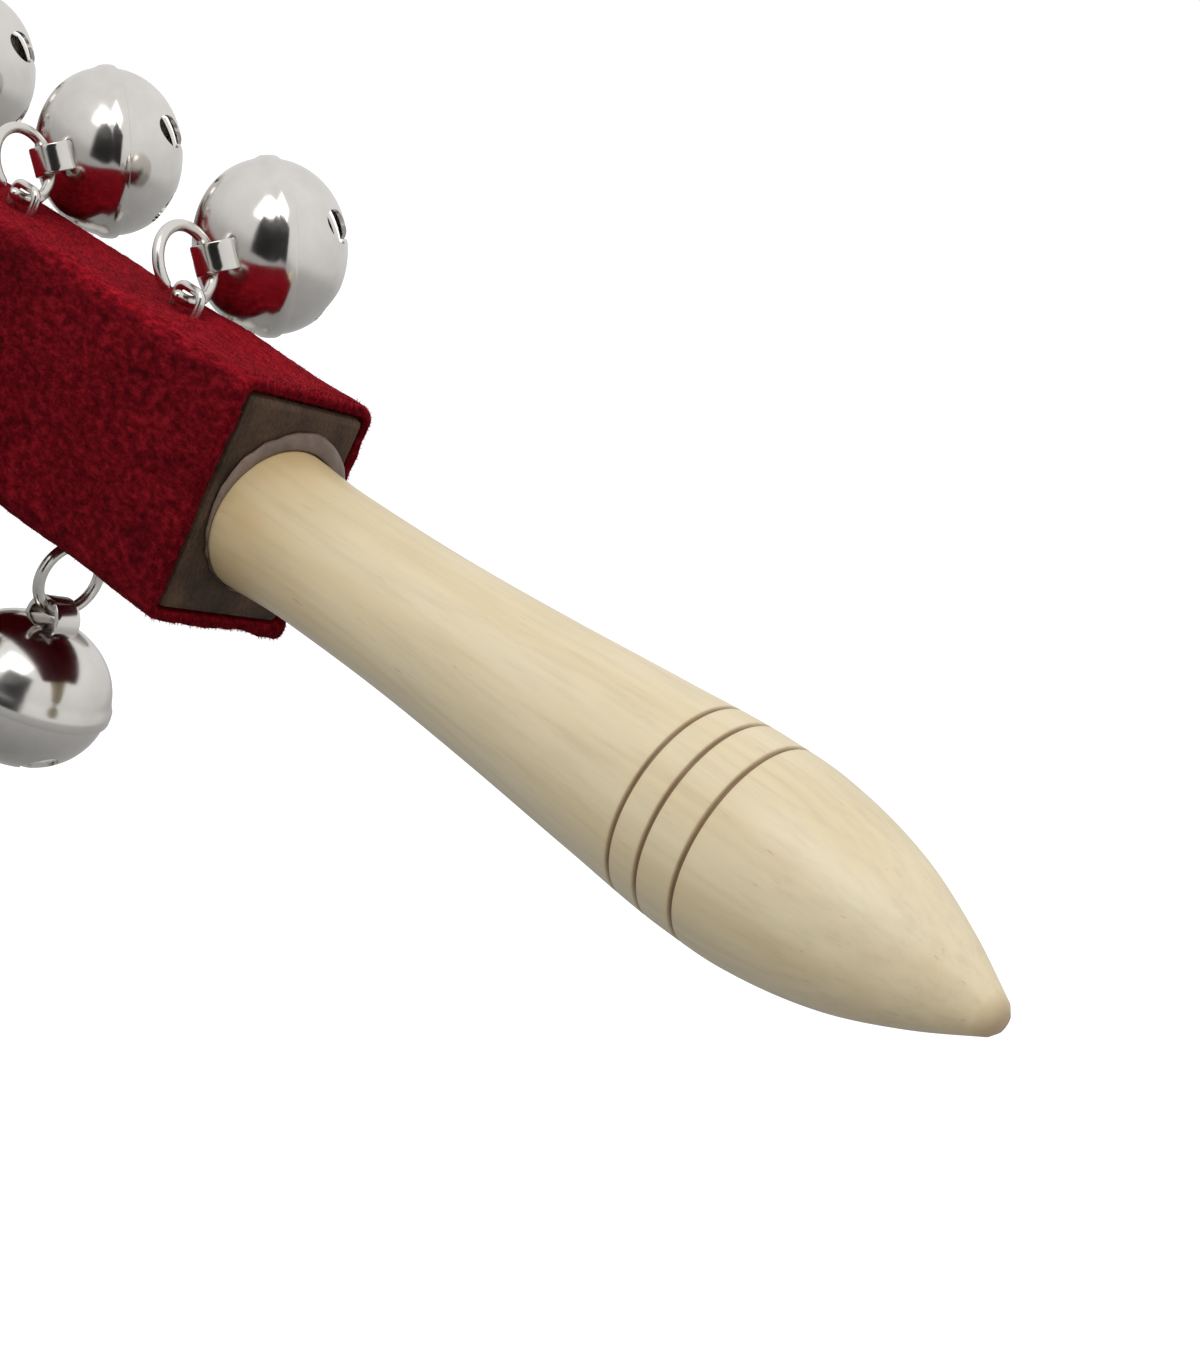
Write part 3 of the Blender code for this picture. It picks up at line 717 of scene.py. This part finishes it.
def upper_outline():
    """The upper half with the lip that is crimped over the lower one."""
    outer = pressed_wall(bell_radius + 0.05 * mm, bell_half_height, 0.24, 26, -1)
    inner = pressed_wall(bell_radius - sheet_thickness, bell_half_height - sheet_thickness,
                         0.02, 20, -1)
    lip = [(0.52 * mm, bell_radius + 0.03 * mm), (0.66 * mm, bell_radius + 0.20 * mm),
           (0.58 * mm, crimp_radius - 0.08 * mm), (0.30 * mm, crimp_radius), (-0.5 * mm, crimp_radius),
           (-1.2 * mm, crimp_radius - 0.09 * mm), (-1.9 * mm, bell_radius - 0.02 * mm)]
    return inner[::-1] + lip + outer


def lower_outline():
    """The lower half, tucked under the lip."""
    outer = pressed_wall(bell_radius, bell_half_height, 0.03, 26, 1)
    inner = pressed_wall(bell_radius - sheet_thickness, bell_half_height - sheet_thickness,
                         0.03, 20, 1)
    return outer[::-1] + inner


def cut(mesh, cutter_builders):
    """A mesh with solids cut out of it, one after the other."""
    body = bpy.data.objects.new("being_cut", mesh)
    bpy.context.scene.collection.objects.link(body)
    cutters = []
    for build in cutter_builders:
        bm = bmesh.new()
        build(bm)
        tool_mesh = bpy.data.meshes.new("cutter")
        bm.to_mesh(tool_mesh)
        bm.free()
        tool = bpy.data.objects.new("cutter", tool_mesh)
        bpy.context.scene.collection.objects.link(tool)
        step = body.modifiers.new("cut", "BOOLEAN")
        step.object = tool
        cutters.append(tool)
    result = bpy.data.meshes.new_from_object(body.evaluated_get(bpy.context.evaluated_depsgraph_get()))
    for item in cutters + [body]:
        bpy.data.objects.remove(item)
    return result


def slot_cutters():
    """Two crossed bars and four round ends."""
    deep = bell_half_height + 2 * mm
    low = 1.2 * mm
    tools = []
    for turn in (0, 90):
        spin = Matrix.Rotation(radians(turn), 4, "Z")
        lift = Matrix.Translation((0, 0, (deep + low) / 2))
        bar = spin @ lift @ Matrix.Diagonal((2 * slot_hole_place, 2 * slot_half_width, deep - low, 1))
        tools.append(lambda bm, bar=bar: bmesh.ops.create_cube(bm, size=1, matrix=bar))
        for side in (-1, 1):
            hole = spin @ Matrix.Translation((side * slot_hole_place, 0, 0)) @ lift
            tools.append(lambda bm, hole=hole: bmesh.ops.create_cone(
                bm, cap_ends=True, segments=40, radius1=slot_hole_radius, radius2=slot_hole_radius,
                depth=deep - low, matrix=hole))
    return tools


def mesh_of(bm, name):
    """A bmesh as a mesh."""
    mesh = bpy.data.meshes.new(name)
    bm.to_mesh(mesh)
    bm.free()
    return mesh


def strap_place(turned):
    """How far from the bell's centre the strap meets the outer wall."""
    along = turned.col[2].z
    return 1 / sqrt((1 - along**2) / bell_radius**2 + along**2 / bell_half_height**2)


def strap_bmesh(turned):
    """A strip bent into an arch whose feet go into the upper half."""
    bm = bmesh.new()
    seat = strap_place(turned)
    foot = -seat + 1.2 * mm
    arch = [(-strap_radius - 0.1 * mm, foot)]
    arch += [(-strap_radius * cos(radians(a)), -seat - strap_radius * sin(radians(a)))
             for a in range(0, 181, 9)]
    arch += [(strap_radius + 0.1 * mm, foot)]
    chain = [bm.verts.new((x, -strap_half_width, z)) for x, z in arch]
    edges = [bm.edges.new(pair) for pair in zip(chain, chain[1:])]
    for _ in range(6):
        made = bmesh.ops.extrude_edge_only(bm, edges=edges)["geom"]
        edges = [item for item in made if isinstance(item, bmesh.types.BMEdge)]
        verts = [item for item in made if isinstance(item, bmesh.types.BMVert)]
        bmesh.ops.translate(bm, verts=verts, vec=(0, strap_half_width / 3, 0))
    bmesh.ops.recalc_face_normals(bm, faces=bm.faces)
    bmesh.ops.solidify(bm, geom=bm.faces[:], thickness=0.8 * mm)
    bmesh.ops.recalc_face_normals(bm, faces=bm.faces)
    corners = [edge for edge in bm.edges
               if len(edge.link_faces) == 2 and edge.calc_face_angle(0) > 1.0]
    bmesh.ops.bevel(bm, geom=corners, offset=0.18 * mm, segments=3, profile=0.5, affect="EDGES",
                    material=-1)
    return bm


def bell_piece(name, mesh, place, body, look, *nodes):
    """One copy of a repeated bell part, put where its bell is."""
    copy = mesh.copy()
    copy.name = name
    copy.transform(place)
    copy.shade_smooth()
    copy.set_sharp_from_angle(angle=radians(38))
    piece = bpy.data.objects.new(name, copy)
    bpy.context.scene.collection.objects.link(piece)
    copy.materials.append(look)
    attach(piece, body)
    if nodes:
        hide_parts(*nodes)
    return piece


shell_look = bright_nickel("nickel_shell", 0.14, 0.014 * mm)
z_axis = Vector((0, 0, 1))
upper_shell = mesh_of(spun(upper_outline(), z_axis, shell_steps), "upper_shell")
lower_shell = cut(mesh_of(spun(lower_outline(), z_axis, shell_steps), "lower_blank"), slot_cutters())
straps = {way: mesh_of(strap_bmesh(turned), "strap") for way, turned in shell_turns.items()}
bell_places = {}
for site in sites:
    swing, rattle = swings[site + "_bell_swing"], swings[site + "_pellet_rattle"]
    pellet_low, pellet_high = (Vector(corner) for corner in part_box(site + "_pellet"))
    pellet_middle = (pellet_low + pellet_high) / 2
    middle = pellet_middle + Vector(rattle["axis"]) * rattle["range_m"][1] / 2
    down = (middle - Vector(swing["pos_m"])).normalized()
    across = Vector(swing["axis"])
    frame_axes = Matrix((across, down.cross(across), down)).transposed().to_4x4()
    place = Matrix.Translation(middle) @ frame_axes
    bell_places[site] = pellet_middle
    way = "askew" if site.startswith("top") else "straight"
    shell_place = place @ shell_turns[way]
    bell_piece(site + "_strapped_half", upper_shell, shell_place, site + "_bell", shell_look,
               site + "_upper_shell")
    bell_piece(site + "_slotted_half", lower_shell, shell_place, site + "_bell", shell_look,
               site + "_lower_shell")
    bell_piece(site + "_strap", straps[way], place, site + "_bell", shell_look)


# Pellets. A loose ball of plain steel is dropped into each bell before its halves are crimped. It
# strikes the shell when the stick is shaken.
pellet_radius = 2.7 * mm
ball_look = bright_nickel("dull_steel_ball", 0.35, 0.02 * mm)
for site in sites:
    bm = bmesh.new()
    bmesh.ops.create_uvsphere(bm, u_segments=28, v_segments=18, radius=pellet_radius,
                              matrix=Matrix.Translation(bell_places[site]))
    new_piece(site + "_ball", bm, site + "_ball", "steel", ball_look, site + "_pellet")


# Stage. A plain white floor well below the held stick, a white room that is brighter above than
# below, a large soft light over the camera, and one dark card that only the metal mirrors.
floor_place = cad_bounds[0][2] - 300 * mm
floor_bm = bmesh.new()
bmesh.ops.create_grid(floor_bm, x_segments=1, y_segments=1, size=12,
                      matrix=Matrix.Translation((0, 0, floor_place)))
floor = bpy.data.objects.new("floor", mesh_of(floor_bm, "floor"))
bpy.context.scene.collection.objects.link(floor)
floor_look, _, floor_shader = new_look("pale_floor", (0.95, 0.95, 0.95), 0.9)
floor_shader.inputs["Emission Color"].default_value = (1, 1, 1, 1)
floor_shader.inputs["Emission Strength"].default_value = 0.25
floor.data.materials.append(floor_look)
floor.visible_diffuse = False
floor.visible_glossy = False


def white_room():
    """A world that is white to the camera, and lights the stick more from above than from below."""
    world = bpy.data.worlds.new("white_room")
    world.use_nodes = True
    tree = world.node_tree
    coordinates = node(tree, "ShaderNodeTexCoord")
    split = node(tree, "ShaderNodeSeparateXYZ")
    tree.links.new(coordinates.outputs["Generated"], split.inputs[0])
    height = math(tree, "MULTIPLY_ADD", split.outputs["Z"], 0.5, 0.5)
    sky = ramp(tree, height, (0.0, 0.30), (0.42, 0.50), (0.52, 0.78), (0.80, 0.96), (1.0, 1.0))
    path = node(tree, "ShaderNodeLightPath")
    tree.links.new(mixed(tree, path.outputs["Is Camera Ray"], sky, (1.0, 1.0, 1.0)),
                   tree.nodes["Background"].inputs["Color"])
    tree.nodes["Background"].inputs["Strength"].default_value = 1.02
    return world


def facing(place, target):
    """A matrix at a place, with its -Z towards a target."""
    way = Vector(target) - Vector(place)
    return Matrix.Translation(place) @ way.to_track_quat("-Z", "Y").to_matrix().to_4x4()


def soft_light(name, place, target, size, power):
    """A square area light that faces a target."""
    data = bpy.data.lights.new(name, "AREA")
    data.size = size
    data.energy = power
    light = bpy.data.objects.new(name, data)
    bpy.context.scene.collection.objects.link(light)
    light.matrix_world = facing(place, target)


def dark_card(name, place, target, width, height):
    """A black card that only mirror-like surfaces see."""
    bm = bmesh.new()
    bmesh.ops.create_grid(bm, x_segments=1, y_segments=1, size=0.5,
                          matrix=facing(place, target) @ Matrix.Diagonal((width, height, 1, 1)))
    card = bpy.data.objects.new(name, mesh_of(bm, name))
    bpy.context.scene.collection.objects.link(card)
    card.data.materials.append(new_look(name, (0.01, 0.01, 0.01), 0.9)[0])
    card.visible_camera = False
    card.visible_diffuse = False
    card.visible_shadow = False


bpy.context.scene.world = white_room()
bpy.context.scene.view_settings.view_transform = "Standard"
soft_light("softbox_over_camera", (0.05, -0.50, 0.55), (-0.05, 0, 0), 0.45, 1.6)
dark_card("dark_behind_camera", (0.13, -0.34, 0.11), (-0.08, 0.015, 0.027), 0.30, 0.40)


# Camera. Close in front of the handle's tip side, a little above the stick, and rolled so that
# the handle runs down to the right.
camera_data = bpy.data.cameras.new("camera")
camera_data.lens = 60.3
camera_data.clip_start = 0.01
camera = bpy.data.objects.new("camera", camera_data)
bpy.context.scene.collection.objects.link(camera)
camera_right = Vector((0.7102, 0.5613, 0.4250)).normalized()
camera_back = camera_right.cross(Vector((-0.4741, -0.0650, 0.8781))).normalized()
camera_up = camera_back.cross(camera_right)
camera_axes = Matrix((camera_right, camera_up, camera_back)).transposed().to_4x4()
camera.matrix_world = Matrix.Translation((0.1476, -0.2221, 0.0653)) @ camera_axes
bpy.context.scene.camera = camera
